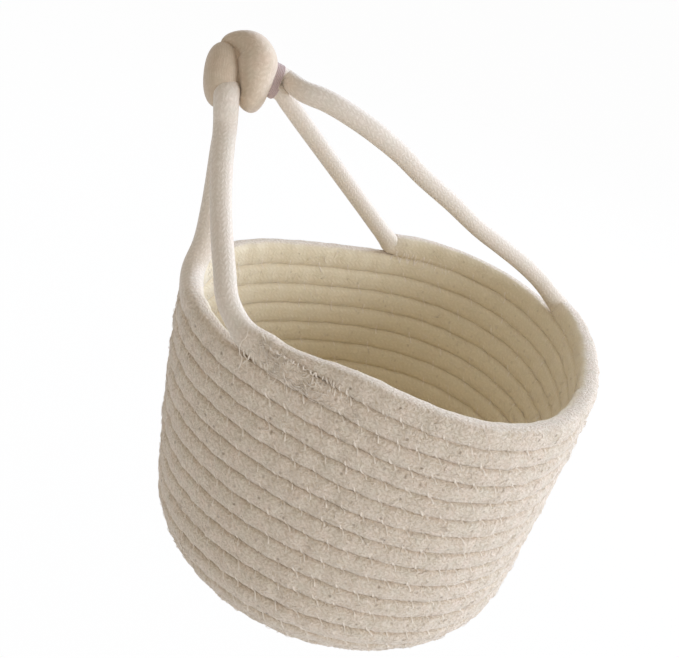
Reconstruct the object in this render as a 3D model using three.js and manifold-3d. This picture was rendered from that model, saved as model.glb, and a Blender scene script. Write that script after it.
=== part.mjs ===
// Hanging rope basket: one cotton rope wound in a flat spiral, up a rounded corner and
// round the wall. At the rim it twice leaves the wall, and the two loops are knotted
// together above the wall side, so that the basket hangs from its knot.
// Millimetres, +Z up, origin at the centre of the underside, +Y towards the wall it hangs on.

import * as THREE from "three";
import { mergeVertices } from "three/addons/utils/BufferGeometryUtils.js";
import Module from "manifold-3d";

// Driving dimensions: the rope
const rope_diameter = 7.5;
const turn_gap = 0.5;
const butt_gap = 0.3;
const underside_cut = 0.75;

// Driving dimensions: the taut strands, drawn a little thinner than the sewn rope
const strand_diameter = 7;
const strand_step = 5.5;
const strand_sides = 8;
const strand_lead = 7.5;
const neck_lead = 6.5;

// Driving dimensions: the wall's outline and the soft opening
const rim_radius = 76.9;
const wall_height = 115;
const foot_narrowing = 10;
const foot_curve_share = 1.26;
const corner_radius = 32;
const wall_side_rise = 10.5;
const opening_shift_x = 5;
const opening_shift_y = 5;
const oval_share = 0.09;
const three_corner_share = 0.077;
const wall_azimuth = 90;
const oval_azimuth = -18;
const rise_azimuth = 113;
const strand_pull = 8;
const strand_pull_azimuth = 153;
const strand_pull_focus_share = 8;

// Driving dimensions: the winding, which climbs clockwise as seen from above
const first_turn_radius = 9.2;
const start_bend_radius = 4.4;
const top_rope_height = 1.1;
const top_rope_azimuth = 264;
const steps_per_turn = 24;

// Azimuths at which the rope leaves the rim and comes back to it
const wall_left_exit = 168;
const wall_right_landing = 58;
const front_left_exit = 204;
const front_right_landing = 3;
const tail_azimuth = 208;
const tail_taper_turn = 20;
const tail_end_share = 0.5;

// Driving dimensions: the knot and its neck, where the right strands come out side by side
const knot_centre = new THREE.Vector3(-53, 57.6, 179.2);
const knot_radius = 13.1;
const lobe_thickness = 12.4;
const lobe_spacing = 10;
const lobe_lean = 14;
const lobe_sides = 14;
const lobe_steps = 28;
const neck_direction = new THREE.Vector3(0.935, -0.15, -0.32).normalize();
const neck_stacking = new THREE.Vector3(0.346, 0.304, 0.888);
const neck_reach = 13;
const neck_strand_gap = 0.3;
const front_entry = new THREE.Vector3(-4.4, -8.8, -11.4);
const front_entry_heading = new THREE.Vector3(0.16, 0.5, 0.85).normalize();
const rear_entry = new THREE.Vector3(-3.2, 0.6, -13.9);
const rear_entry_heading = new THREE.Vector3(0.1, 0.12, 0.98).normalize();

// Driving dimensions: the thread wound round the neck
const thread_diameter = 0.6;
const thread_gap = 0.5;
const thread_clearance = 0.3;
const thread_loops = 3;
const thread_sides = 6;
const thread_steps_per_loop = 24;
const thread_place = 15.3;

// The routes of the four strands between the rim and the knot, from the photograph
const front_left_route = [
  [-65.3, -2.5, 116.8],
  [-66.4, 5.5, 121.3],
  [-66, 12.5, 127],
  [-64.6, 22, 136],
  [-62.4, 33, 148.2],
];
const rear_left_route = [
  [-65.2, 37.4, 110],
  [-61.9, 42.5, 118.2],
  [-58.6, 47.6, 131.6],
  [-56.4, 53.2, 149.4],
];
const rear_right_route = [
  [-23.7, 51.6, 161.5],
  [-10.7, 53.7, 148.2],
  [2.3, 55.7, 137],
  [15.6, 57.8, 125.5],
];
const front_right_route = [
  [-24.5, 45, 175],
  [-11.5, 38.9, 170],
  [5.1, 32.6, 160.1],
  [23.8, 26.5, 147.6],
  [51.9, 19.5, 131.9],
  [68.5, 17, 123.5],
];

const rope_half = rope_diameter / 2;
const turn_pitch = rope_diameter + turn_gap;
const degree = Math.PI / 180;
const base_centre_height = rope_half - underside_cut;

const strand_radius = strand_diameter / 2;

// Materials
const rope_cotton = new THREE.MeshStandardMaterial({ color: 0xd9cbb6, roughness: 0.95, metalness: 0 });
const binding_thread = new THREE.MeshStandardMaterial({ color: 0xa58d84, roughness: 0.8, metalness: 0 });

const basket = new THREE.Group();

function add_part(name, geometry, material) {
  const mesh = new THREE.Mesh(geometry, material);
  mesh.name = name;
  basket.add(mesh);
}

// The wall's line for the rope's centre: flat base, corner arc, then a wall that leans out
// less and less with height

function wall_line_radius(height) {
  const below_rim = Math.max(1 - height / wall_height, 0);
  return rim_radius - rope_half - foot_narrowing * Math.pow(below_rim, foot_curve_share);
}

function wall_line_slope(height) {
  const below_rim = Math.max(1 - height / wall_height, 0);
  const steepness = foot_curve_share * Math.pow(below_rim, foot_curve_share - 1);
  return (foot_narrowing * steepness) / wall_height;
}

function corner_end_angle() {
  const bend = corner_radius - rope_half;
  let angle = Math.PI / 2;
  for (let pass = 0; pass < 12; pass += 1) {
    const height = base_centre_height + bend * (1 - Math.cos(angle));
    angle = Math.PI / 2 - Math.atan(wall_line_slope(height));
  }
  return angle;
}

function profile_table() {
  const bend = corner_radius - rope_half;
  const end_angle = corner_end_angle();
  const corner_top = base_centre_height + bend * (1 - Math.cos(end_angle));
  const flat_radius = wall_line_radius(corner_top) - bend * Math.sin(end_angle);
  const rows = [{ reach: 0, radius: 0, height: base_centre_height }];
  const corner_rows = 24;
  for (let i = 0; i <= corner_rows; i += 1) {
    const angle = (end_angle * i) / corner_rows;
    const radius = flat_radius + bend * Math.sin(angle);
    const height = base_centre_height + bend * (1 - Math.cos(angle));
    rows.push({ reach: flat_radius + bend * angle, radius, height });
  }
  const wall_rows = 60;
  const top_height = wall_height + 2 * turn_pitch;
  for (let i = 1; i <= wall_rows; i += 1) {
    const height = corner_top + ((top_height - corner_top) * i) / wall_rows;
    const radius = wall_line_radius(height);
    const last = rows[rows.length - 1];
    const reach = last.reach + Math.hypot(radius - last.radius, height - last.height);
    rows.push({ reach, radius, height });
  }
  return { rows, flat_radius };
}

const { rows: profile_rows, flat_radius } = profile_table();

function profile_at(reach) {
  let i = 1;
  while (i < profile_rows.length - 1 && profile_rows[i].reach < reach) {
    i += 1;
  }
  const low = profile_rows[i - 1];
  const high = profile_rows[i];
  const share = (reach - low.reach) / (high.reach - low.reach);
  return {
    radius: low.radius + share * (high.radius - low.radius),
    height: low.height + share * (high.height - low.height),
  };
}

function reach_at_height(height) {
  let i = 1;
  while (profile_rows[i].height < height) {
    i += 1;
  }
  const low = profile_rows[i - 1];
  const high = profile_rows[i];
  const share = (height - low.height) / (high.height - low.height);
  return low.reach + share * (high.reach - low.reach);
}

// The hung basket is soft: towards the rim the round wall goes over into three blunt
// corners, slightly oval, and the side against the wall is drawn up
function wall_point(reach, azimuth) {
  const { radius, height } = profile_at(reach);
  const full = wall_height - base_centre_height;
  const softness = THREE.MathUtils.clamp((height - base_centre_height) / full, 0, 1);
  const oval = oval_share * Math.cos(2 * (azimuth - oval_azimuth) * degree);
  const corners = three_corner_share * Math.cos(3 * (azimuth - wall_azimuth) * degree);
  const facing_pull = Math.max(Math.cos((azimuth - strand_pull_azimuth) * degree), 0);
  const pull = strand_pull * softness * softness * Math.pow(facing_pull, strand_pull_focus_share);
  const soft_radius = radius * (1 + softness * (oval - corners)) - pull;
  const rise = (wall_side_rise * soft_radius) / rim_radius;
  return new THREE.Vector3(
    soft_radius * Math.cos(azimuth * degree) + softness * opening_shift_x,
    soft_radius * Math.sin(azimuth * degree) + softness * opening_shift_y,
    height + softness * rise * Math.cos((azimuth - rise_azimuth) * degree),
  );
}

// The winding: how far along the wall's line the rope has come at an azimuth. Azimuths
// count on past 360 for the earlier turns
const rim_reach = reach_at_height(wall_height);

function rope_reach(azimuth, ropes_below_top) {
  const climb = (turn_pitch * (top_rope_azimuth - azimuth)) / 360;
  return rim_reach + top_rope_height + climb - ropes_below_top * turn_pitch;
}

const coil_end_reach = rope_reach(wall_left_exit, 2);
const coil_angle = ((coil_end_reach - first_turn_radius) / turn_pitch) * 360;
const coil_start_azimuth = wall_left_exit + coil_angle;
const base_end_angle = ((flat_radius - first_turn_radius) / turn_pitch) * 360;

// A station is one ring of six points: two tips towards the neighbouring turns and a flat
// on each face of the wall. Under the base the outer flat is cut level
function station_at(reach, azimuth) {
  const nudge = 0.01 * turn_pitch;
  const turn = 0.5;
  const centre = wall_point(reach, azimuth);
  const towards_next = wall_point(reach + nudge, azimuth).sub(wall_point(reach - nudge, azimuth));
  const local_pitch = (towards_next.length() / (2 * nudge)) * turn_pitch;
  const along = wall_point(reach, azimuth - turn).sub(wall_point(reach, azimuth + turn)).normalize();
  towards_next.normalize();
  const outward = new THREE.Vector3().crossVectors(towards_next, along).normalize();
  return { centre, along, towards_next, outward, tip: (local_pitch - turn_gap) / 2 };
}

function ring_points(station, scale = 1) {
  const { centre, towards_next, outward, tip } = station;
  const shoulder = 0.5;
  let outer = rope_half;
  if (outward.z < 0) {
    outer = Math.min(rope_half, -centre.z / outward.z);
  }
  const outer_flat = tip * (1 - (shoulder * outer) / rope_half);
  const corners = [
    [0, tip],
    [outer, outer_flat],
    [outer, -outer_flat],
    [0, -tip],
    [-rope_half, -shoulder * tip],
    [-rope_half, shoulder * tip],
  ];
  return corners.map(([out, up]) => {
    const point = centre.clone();
    point.addScaledVector(outward, out * scale);
    point.addScaledVector(towards_next, up * scale);
    point.z = Math.max(point.z, 0);
    return point;
  });
}

// The least gap of a winding to itself, between its points and the middles of its edges
function print_least_gap(name, rings, rings_per_loop) {
  const points = rings.map((ring, r) => {
    const next = rings[Math.min(r + 1, rings.length - 1)];
    return ring.concat(ring.map((point, k) => point.clone().lerp(next[k], 0.5)));
  });
  let least = Infinity;
  points.forEach((here, r) => {
    const from = r + Math.ceil(rings_per_loop / 2);
    const to = Math.min(r + Math.ceil(1.5 * rings_per_loop), points.length);
    points.slice(from, Math.max(to, from)).forEach((there) => {
      here.forEach((a) => there.forEach((b) => {
        least = Math.min(least, a.distanceTo(b));
      }));
    });
  });
  console.log(`${name}: least gap to itself ${least.toFixed(2)} mm`);
}

function closed_tube(rings) {
  const sides = rings[0].length;
  const positions = [];
  const faces = [];
  rings.forEach((ring) => ring.forEach((p) => positions.push(p.x, p.y, p.z)));
  for (let r = 0; r < rings.length - 1; r += 1) {
    for (let s = 0; s < sides; s += 1) {
      const a = r * sides + s;
      const b = r * sides + ((s + 1) % sides);
      faces.push(a, b, a + sides, b, b + sides, a + sides);
    }
  }
  const last = (rings.length - 1) * sides;
  for (let s = 1; s < sides - 1; s += 1) {
    faces.push(0, s + 1, s);
    faces.push(last, last + s, last + s + 1);
  }
  const geometry = new THREE.BufferGeometry();
  geometry.setAttribute("position", new THREE.Float32BufferAttribute(positions, 3));
  geometry.setIndex(faces);
  return face_outward(geometry);
}

function face_outward(geometry) {
  const p = geometry.attributes.position;
  const index = geometry.index.array;
  let volume = 0;
  for (let i = 0; i < index.length; i += 3) {
    const [a, b, c] = [0, 1, 2].map((k) => new THREE.Vector3().fromBufferAttribute(p, index[i + k]));
    volume += a.dot(b.cross(c));
  }
  if (volume < 0) {
    for (let i = 0; i < index.length; i += 3) {
      [index[i], index[i + 1]] = [index[i + 1], index[i]];
    }
  }
  geometry.computeVertexNormals();
  return geometry;
}

// Rings stand at the same azimuths on every turn, so that neighbouring turns run parallel
function ring_azimuths(from, to) {
  const step = 360 / steps_per_turn;
  const least = 0.3 * step;
  const list = [from];
  let next = coil_start_azimuth - Math.ceil((coil_start_azimuth - from) / step) * step;
  while (next > to + least) {
    if (from - next > least) {
      list.push(next);
    }
    next -= step;
  }
  list.push(to);
  return list;
}

// The rope's own start: a straight end across the middle, bent round into the first turn
function centre_stations() {
  const first = station_at(first_turn_radius, coil_start_azimuth);
  const heading = Math.atan2(first.along.y, first.along.x);
  const stations = [];
  const bend_centre_distance = first_turn_radius - start_bend_radius;
  const towards_centre = first.centre.clone().setZ(0).normalize().negate();
  const bend_centre = first.centre.clone().addScaledVector(towards_centre, start_bend_radius);
  const bend_turn = Math.acos(start_bend_radius / Math.max(bend_centre_distance, start_bend_radius));
  const bend_sweep = Math.PI - bend_turn;
  const bend_steps = 6;
  for (let i = bend_steps; i >= 1; i -= 1) {
    const angle = heading + (bend_sweep * i) / bend_steps;
    const along = new THREE.Vector3(Math.cos(angle), Math.sin(angle), 0);
    const side = new THREE.Vector3(-along.y, along.x, 0);
    const centre = bend_centre.clone().addScaledVector(side, start_bend_radius);
    stations.push({ centre, along, towards_next: side, outward: first.outward, tip: first.tip });
  }
  const bend_start = stations[0];
  const straight = rope_diameter;
  const end_centre = bend_start.centre.clone().addScaledVector(bend_start.along, -straight);
  stations.unshift({ ...bend_start, centre: end_centre });
  return stations;
}

function coil_stations(from_angle, to_angle) {
  const azimuths = ring_azimuths(coil_start_azimuth - from_angle, coil_start_azimuth - to_angle);
  return azimuths.map((azimuth) => {
    const angle = coil_start_azimuth - azimuth;
    return station_at(first_turn_radius + (turn_pitch * angle) / 360, azimuth);
  });
}

function butt_angle(reach) {
  return (butt_gap / profile_at(reach).radius) / degree;
}

const base_stations = [...centre_stations(), ...coil_stations(0, base_end_angle)];
const wall_start_angle = base_end_angle + butt_angle(flat_radius);
const wall_stations = coil_stations(wall_start_angle, coil_angle);

function rim_run_stations(from, to, ropes_below_top) {
  return ring_azimuths(from, to).map((azimuth) => {
    return station_at(rope_reach(azimuth, ropes_below_top), azimuth);
  });
}

const middle_run_stations = rim_run_stations(wall_right_landing + 360, front_left_exit, 1);
const top_run_stations = rim_run_stations(front_right_landing + 360, tail_azimuth, 0);
const top_run_azimuths = ring_azimuths(front_right_landing + 360, tail_azimuth);

// The rope's cut end tapers down onto the run below it
const top_run_rings = top_run_stations.map((station, i) => {
  const run_left = (top_run_azimuths[i] - tail_azimuth) / tail_taper_turn;
  const scale = THREE.MathUtils.lerp(tail_end_share, 1, Math.min(run_left, 1));
  const centre = station.centre.clone().addScaledVector(station.towards_next, -(1 - scale) * station.tip);
  return ring_points({ ...station, centre }, scale);
});

const base_rings = base_stations.map((s) => ring_points(s));
const wall_rings = wall_stations.map((s) => ring_points(s));
print_least_gap("base_coil", base_rings, steps_per_turn);
print_least_gap("wall_coil", wall_rings, steps_per_turn);
add_part("base_coil", closed_tube(base_rings), rope_cotton);
add_part("wall_coil", closed_tube(wall_rings), rope_cotton);
add_part("middle_rim_run", closed_tube(middle_run_stations.map((s) => ring_points(s))), rope_cotton);
add_part("top_rim_run", closed_tube(top_run_rings), rope_cotton);

// Booleans on closed shapes
const wasm = await Module();
wasm.setup();

function solid_of(geometry) {
  const bare = geometry.clone();
  bare.deleteAttribute("normal");
  bare.deleteAttribute("uv");
  const merged = mergeVertices(bare);
  const mesh = new wasm.Mesh({
    numProp: 3,
    vertProperties: Float32Array.from(merged.attributes.position.array),
    triVerts: Uint32Array.from(merged.index.array),
  });
  return new wasm.Manifold(mesh);
}

function geometry_of(solid) {
  const mesh = solid.getMesh();
  const geometry = new THREE.BufferGeometry();
  geometry.setAttribute("position", new THREE.BufferAttribute(mesh.vertProperties, 3));
  geometry.setIndex(new THREE.BufferAttribute(mesh.triVerts, 1));
  geometry.computeVertexNormals();
  return geometry;
}

// The knot: two fat turns of rope side by side over a core, with the four strands coming
// out of it, two below and two through the neck
const neck_across = new THREE.Vector3().crossVectors(neck_direction, neck_stacking).normalize();
const neck_up = new THREE.Vector3().crossVectors(neck_across, neck_direction);
const neck_strand_offset = strand_radius + neck_strand_gap / 2;

function knot_point(along_neck, across) {
  const point = knot_centre.clone().addScaledVector(neck_direction, along_neck);
  return point.addScaledVector(neck_up, across);
}

function fat_turn(along_neck, lean) {
  const tube = lobe_thickness / 2;
  const geometry = new THREE.TorusGeometry(knot_radius - tube, tube, lobe_sides, lobe_steps);
  const axis = neck_direction.clone().applyAxisAngle(neck_up, THREE.MathUtils.degToRad(lean));
  geometry.applyQuaternion(new THREE.Quaternion().setFromUnitVectors(new THREE.Vector3(0, 0, 1), axis));
  const place = knot_point(along_neck, 0);
  geometry.translate(place.x, place.y, place.z);
  return solid_of(geometry);
}

function rope_stub(from, to) {
  const length = from.distanceTo(to);
  const geometry = new THREE.CylinderGeometry(strand_radius, strand_radius, length, 2 * strand_sides);
  const heading = to.clone().sub(from).normalize();
  geometry.applyQuaternion(new THREE.Quaternion().setFromUnitVectors(new THREE.Vector3(0, 1, 0), heading));
  const middle = from.clone().lerp(to, 0.5);
  geometry.translate(middle.x, middle.y, middle.z);
  return solid_of(geometry);
}

const core_geometry = new THREE.SphereGeometry(knot_radius - lobe_thickness / 4, 20, 14);
core_geometry.translate(knot_centre.x, knot_centre.y, knot_centre.z);
const front_entry_face = knot_centre.clone().add(front_entry);
const rear_entry_face = knot_centre.clone().add(rear_entry);

let knot = solid_of(core_geometry);
knot = knot.add(fat_turn(-lobe_spacing / 2, lobe_lean));
knot = knot.add(fat_turn(lobe_spacing / 2, -lobe_lean));
knot = knot.add(rope_stub(knot_point(0, neck_strand_offset), knot_point(neck_reach, neck_strand_offset)));
knot = knot.add(rope_stub(knot_point(0, -neck_strand_offset), knot_point(neck_reach, -neck_strand_offset)));
const entry_depth = knot_radius / 2;
const front_inside = front_entry_face.clone().addScaledVector(front_entry_heading, entry_depth);
const rear_inside = rear_entry_face.clone().addScaledVector(rear_entry_heading, entry_depth);
knot = knot.add(rope_stub(front_entry_face, front_inside));
knot = knot.add(rope_stub(rear_entry_face, rear_inside));
add_part("handle_knot", geometry_of(knot), rope_cotton);

// A strand leaves square to the face it meets, runs straight for its lead, follows its
// route and comes in straight again
function strand(name, start, start_heading, start_lead, route, end, end_heading, end_lead) {
  const points = [0, 0.6, 1].map((share) => {
    return start.clone().addScaledVector(start_heading, butt_gap + share * start_lead);
  });
  route.forEach(([x, y, z]) => points.push(new THREE.Vector3(x, y, z)));
  [1, 0.6, 0].forEach((share) => {
    points.push(end.clone().addScaledVector(end_heading, -butt_gap - share * end_lead));
  });
  const path = new THREE.CatmullRomCurve3(points);
  const section = new THREE.Shape();
  for (let i = 0; i < strand_sides; i += 1) {
    const angle = (2 * Math.PI * i) / strand_sides;
    section[i === 0 ? "moveTo" : "lineTo"](strand_radius * Math.cos(angle), strand_radius * Math.sin(angle));
  }
  section.closePath();
  const steps = Math.ceil(path.getLength() / strand_step);
  const geometry = new THREE.ExtrudeGeometry(section, { steps, bevelEnabled: false, extrudePath: path });
  add_part(name, geometry, rope_cotton);
}

function face_heading(station) {
  const heading = new THREE.Vector3().crossVectors(station.outward, station.towards_next);
  return heading.dot(station.along) < 0 ? heading.negate() : heading;
}

const coil_end = wall_stations[wall_stations.length - 1];
const middle_start = middle_run_stations[0];
const middle_end = middle_run_stations[middle_run_stations.length - 1];
const top_start = top_run_stations[0];

strand(
  "strand_front_left",
  middle_end.centre, face_heading(middle_end), strand_lead,
  front_left_route,
  front_entry_face, front_entry_heading, strand_lead,
);
strand(
  "strand_rear_left",
  coil_end.centre, face_heading(coil_end), strand_lead,
  rear_left_route,
  rear_entry_face, rear_entry_heading, strand_lead,
);
strand(
  "strand_rear_right",
  knot_point(neck_reach, -neck_strand_offset), neck_direction, neck_lead,
  rear_right_route,
  middle_start.centre, face_heading(middle_start), strand_lead,
);
strand(
  "strand_front_right",
  knot_point(neck_reach, neck_strand_offset), neck_direction, neck_lead,
  front_right_route,
  top_start.centre, face_heading(top_start), strand_lead,
);

// The thread goes round both strands of the neck in one unbroken winding
function thread_rings() {
  const reach = strand_radius + thread_clearance + thread_diameter / 2;
  const half_straight = neck_strand_offset;
  const half_loop = 2 * half_straight + Math.PI * reach;
  const pitch = thread_diameter + thread_gap;
  const rings = [];
  const steps = thread_loops * thread_steps_per_loop;
  for (let i = 0; i <= steps; i += 1) {
    const along = (half_straight + (2 * half_loop * i) / thread_steps_per_loop) % (2 * half_loop);
    const side = along < half_loop ? 1 : -1;
    const along_side = along % half_loop;
    const angle = Math.max(along_side - 2 * half_straight, 0) / reach;
    const up_place = Math.min(along_side, 2 * half_straight) - half_straight;
    const outward = neck_across.clone().multiplyScalar(Math.cos(angle) * side);
    outward.addScaledVector(neck_up, Math.sin(angle) * side);
    const climb = pitch * (i / thread_steps_per_loop - thread_loops / 2);
    const centre = knot_point(thread_place + climb, side * up_place);
    centre.addScaledVector(outward, reach);
    const ring = [];
    for (let k = 0; k < thread_sides; k += 1) {
      const turn = (2 * Math.PI * k) / thread_sides;
      const point = centre.clone().addScaledVector(outward, (thread_diameter / 2) * Math.cos(turn));
      ring.push(point.addScaledVector(neck_direction, (thread_diameter / 2) * Math.sin(turn)));
    }
    rings.push(ring);
  }
  return rings;
}

const binding_rings = thread_rings();
print_least_gap("neck_binding", binding_rings, thread_steps_per_loop);
add_part("neck_binding", closed_tube(binding_rings), binding_thread);

export default basket;
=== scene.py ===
"""A basket wound from one soft cotton rope, hung by two loops of that rope tied in a knot.

The rope starts in the middle of the base, winds out and up the wall, leaves the rim to the
knot, comes back for a run of the rim, leaves again and ends as the rim's top run.
"""

import math

import bpy
import numpy as np
from mathutils import Matrix, Vector


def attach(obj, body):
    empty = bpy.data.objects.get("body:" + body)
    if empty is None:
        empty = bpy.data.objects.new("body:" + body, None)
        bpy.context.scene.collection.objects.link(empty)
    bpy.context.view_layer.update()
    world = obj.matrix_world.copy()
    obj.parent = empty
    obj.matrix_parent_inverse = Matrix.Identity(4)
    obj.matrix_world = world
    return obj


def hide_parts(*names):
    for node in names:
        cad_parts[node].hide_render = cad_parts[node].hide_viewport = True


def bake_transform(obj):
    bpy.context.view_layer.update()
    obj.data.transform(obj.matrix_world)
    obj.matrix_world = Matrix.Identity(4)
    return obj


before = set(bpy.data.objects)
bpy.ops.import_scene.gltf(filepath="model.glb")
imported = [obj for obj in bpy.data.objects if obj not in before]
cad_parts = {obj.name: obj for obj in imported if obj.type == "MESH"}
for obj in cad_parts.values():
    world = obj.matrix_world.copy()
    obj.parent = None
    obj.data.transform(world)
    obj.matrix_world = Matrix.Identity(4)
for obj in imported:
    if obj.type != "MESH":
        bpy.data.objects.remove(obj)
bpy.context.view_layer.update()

bl_info = {
    "name": "Rope wall basket",
    "version": (1, 0, 0),
    "blender": (4, 5, 0),
    "location": "View3D > Sidebar > Rope basket",
    "description": "Builds a basket wound from one cotton rope, with its strands, knot and stitches",
    "category": "Add Mesh",
}

MM = 0.001

# The rope and the winding, in the sizes of the frame; azimuths and angles are in degrees
ROPE_HALF = 3.75 * MM
TURN_PITCH = 8 * MM
BASE_CENTRE_HEIGHT = 3 * MM
RIM_RADIUS = 76.9 * MM
WALL_HEIGHT = 115 * MM
FOOT_NARROWING = 10 * MM
FOOT_CURVE = 1.26
CORNER_RADIUS = 32 * MM
WALL_SIDE_RISE = 10.5 * MM
OPENING_SHIFT = 5 * MM
OVAL = 0.09
THREE_CORNER = 0.077
WALL_AZIMUTH = 90
OVAL_AZIMUTH = -18
RISE_AZIMUTH = 113
STRAND_PULL = 8 * MM
STRAND_PULL_AZIMUTH = 153
STRAND_PULL_FOCUS = 8
START_RADIUS = 0.4 * MM
TOP_ROPE_HEIGHT = 1.1 * MM
TOP_ROPE_AZIMUTH = 264

# Azimuths along the winding count down as the rope climbs; 360 more is one turn lower
TURN = 360
TOP_START = 3 + TURN
TOP_END = 203
MIDDLE_START = 64 + 2 * TURN
MIDDLE_END = 195 + TURN
COIL_END = 168 + 2 * TURN

# The top run's tail thins out and sinks while the middle run rises beside it to leave the rim
TAIL_SPAN = 33
TAIL_SINK = 1.7 * MM
TAIL_PUSH = 1 * MM
TAIL_THINNING = 0.72
TAIL_THINNING_CURVE = 1.2
TAIL_FLATTENING = 0.45
LEAVING_SPAN = 24
LEAVING_RISE = 3.4 * MM
ARRIVING_SPAN = 16
ARRIVING_RISE = 2.4 * MM

# The turns swell by a share of their thickness, in waves of these lengths, and stray in and out, in
# waves of these lengths and phases
SWELL = 0.018
SWELL_WAVES = (26 * MM, 11 * MM)
WOBBLE = 0.14 * MM
WOBBLE_WAVES = ((38 * MM, 0.3), (17 * MM, 2.1), (9.5 * MM, 4.4))

# How far in along the winding a strand's curve is steered, and how far to each side of their joint
# the turn's section goes over to the strand's, which is round
STEER_REACH = 6 * MM
EASE_REACH = 12 * MM
ROUND_SECTION = 2.0

# Section angles of the rings that round off a rope's free end
CAP_ANGLES = (15, 35, 55, 75)

# Stitches stand close at three joints: the upper turn's azimuths from and to, and their step. The
# first turns of the base have none
TAIL_JOINT = (TOP_END + 1, TOP_END + 24, 1.9)
LEAVING_JOINT = (MIDDLE_END + 2, MIDDLE_END + 17, 2.3)
ARRIVING_JOINT = (MIDDLE_START - 22, MIDDLE_START - 1, 1.6)
JOINT_LEAN = 4 * MM
UNSEWN_TURNS = 1.1

# How bright the gaps between a thread's plies stay under their painted shade
SEWING_THREAD_SHADE = 0.92
TWINE_SHADE = 0.8

# Fibres of the nap: azimuths kept free at a run's end, and the tangle where a strand leaves the rim
NAP_CLEARANCE = 4
NAP_TAIL_CLEARANCE = 8
TANGLE_COUNT = 90
TANGLE_SPAN = (MIDDLE_END + 3, MIDDLE_END + 30)

# Seeds of all that is uneven, so that each run gives the same basket
COIL_SEED = 1
MIDDLE_SEED = 3
TOP_SEED = 5
SPACING_SEED = 11
STITCH_SEED = 23
NAP_SEED = 41

# The knot: its own axes run across it, up it and out of its front
KNOT_CENTRE = np.array((-53, 57.6, 179.2)) * MM
KNOT_ACROSS = np.array((0.8694, -0.4305, 0.2425))
KNOT_UP = np.array((0.012, 0.509, 0.8607))
KNOT_FRONT = np.cross(KNOT_ACROSS, KNOT_UP)
NECK_DIRECTION = np.array((0.935, -0.15, -0.32))
NECK_DIRECTION /= np.linalg.norm(NECK_DIRECTION)
NECK_STACKING = np.array((0.346, 0.304, 0.888))
NECK_ACROSS = np.cross(NECK_DIRECTION, NECK_STACKING)
NECK_ACROSS /= np.linalg.norm(NECK_ACROSS)
NECK_UP = np.cross(NECK_ACROSS, NECK_DIRECTION)
NECK_PLACES = np.array((2, 6, 13, 17)) * MM
NECK_RAISE = 2.5 * MM
NECK_STRAND_OFFSET = 2.7 * MM
NECK_STRAND_HALF = 3.1 * MM
THREAD_PLACE = 12.5 * MM

# The strands' routes between the rim and the knot
FRONT_LEFT_ROUTE = np.array((
    (-65.8, -9, 114.3), (-68.4, -1, 119.9), (-68, 7, 127), (-66.2, 21, 138.7), (-63.8, 34, 151.5),
)) * MM
REAR_LEFT_ROUTE = np.array((
    (-64.7, 37, 111.2), (-60.3, 41.8, 119.6), (-57.7, 47.2, 131.8), (-56.2, 53.1, 149.4),
)) * MM
FRONT_RIGHT_ROUTE = np.array((
    (-33.4, 46, 178), (-25.9, 39.5, 177.1), (-11.6, 33, 171.4), (2.3, 29.5, 163.7), (13.8, 26.8, 155.7),
    (27.2, 23.8, 147.5), (41, 21, 138.5), (52.6, 18.6, 132.3), (63.8, 16.6, 126.1), (74.1, 14.5, 119.2),
)) * MM
REAR_RIGHT_SHARES = (0.06, 0.25, 0.5, 0.75, 0.92, 0.975)

# Ends of the left strands in the knot, across, up and to the front of its centre
FRONT_ENTRY = np.array((
    (-5.1, -19, 4.8), (-4.7, -14, 6.8), (-4.5, -10, 7.2), (-4.4, -8.2, 6), (-4.4, -7.7, 3.5),
    (-4.4, -7.6, 0), (-4.4, -7.6, -2),
)) * MM
REAR_ENTRY = np.array(((-6.3, -17.5, -6), (-6.2, -11.7, -5.1), (-5.6, -5, -4.2), (-5.4, -2, -4))) * MM

# Half thickness of each strand at even steps, in the direction in which the rope runs
FRONT_LEFT_HALVES = np.array((4, 3.9, 3.8, 4.1, 4.8)) * MM
REAR_LEFT_HALVES = np.array((4.3, 4.3, 4, 3.8)) * MM
REAR_RIGHT_HALVES = np.array((3.1, 3.4, 3.4, 3.4, 3.6)) * MM
FRONT_RIGHT_HALVES = np.array((3.1, 4, 3.9, 3.5, 3.3, 3.4, 3.6)) * MM

# The knot's arching wrap, from its tucked left end over the top and down the right side
ARCH_LINE = np.array((
    (-7, 6.6, -1.5), (-3.9, 9.6, -0.6), (0.4, 9.3, 0), (3.9, 7.2, 0.4), (5.5, 3.6, 0.6),
    (5.2, -1, 0.6), (4.7, -5, 0.4), (3.8, -9, 0.2), (0.8, -13.6, 0),
)) * MM
ARCH_HALVES = np.array((1.6, 3.2, 4.9, 6.5, 7.5, 6.6, 5.3, 4.3, 3.3)) * MM
ARCH_DEPTHS = np.array((3.4, 6, 8.6, 10.3, 11.2, 11.2, 10.4, 9, 7)) * MM

# Centre, half width, half height and half depth in millimetres, tilt and swing in degrees
LEFT_WRAP = ((-6.5, -1.6, 0.6), 6.6, 11.6, 10.4, -6, -4)
CORE_WRAP = ((0, 0.9, -2.6), 9.4, 12, 9.6, 0, 0)

# What the rope's material reads as its state on the knot
KNOT_STATE = -2.0

# The camera, at the photograph's angle; the knot is laid out as it sees it
CAMERA_PLACE = np.array((-247.9, -341.2, 312.5)) * MM
CAMERA_RIGHT = KNOT_ACROSS
CAMERA_UP = KNOT_UP
CAMERA_FOCUS_PIXELS = 1290.1
IMAGE_WIDTH = 679
SENSOR_WIDTH = 36


def linear(hex_colour):
    """An sRGB hex colour as linear red, green and blue."""
    parts = [int(hex_colour[i:i + 2], 16) / 255 for i in (1, 3, 5)]
    return tuple(c / 12.92 if c <= 0.04045 else ((c + 0.055) / 1.055) ** 2.4 for c in parts)


def soft_step(value):
    """0 below 0, 1 above 1 and a smooth rise between."""
    t = np.clip(value, 0, 1)
    return t * t * (3 - 2 * t)


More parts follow.
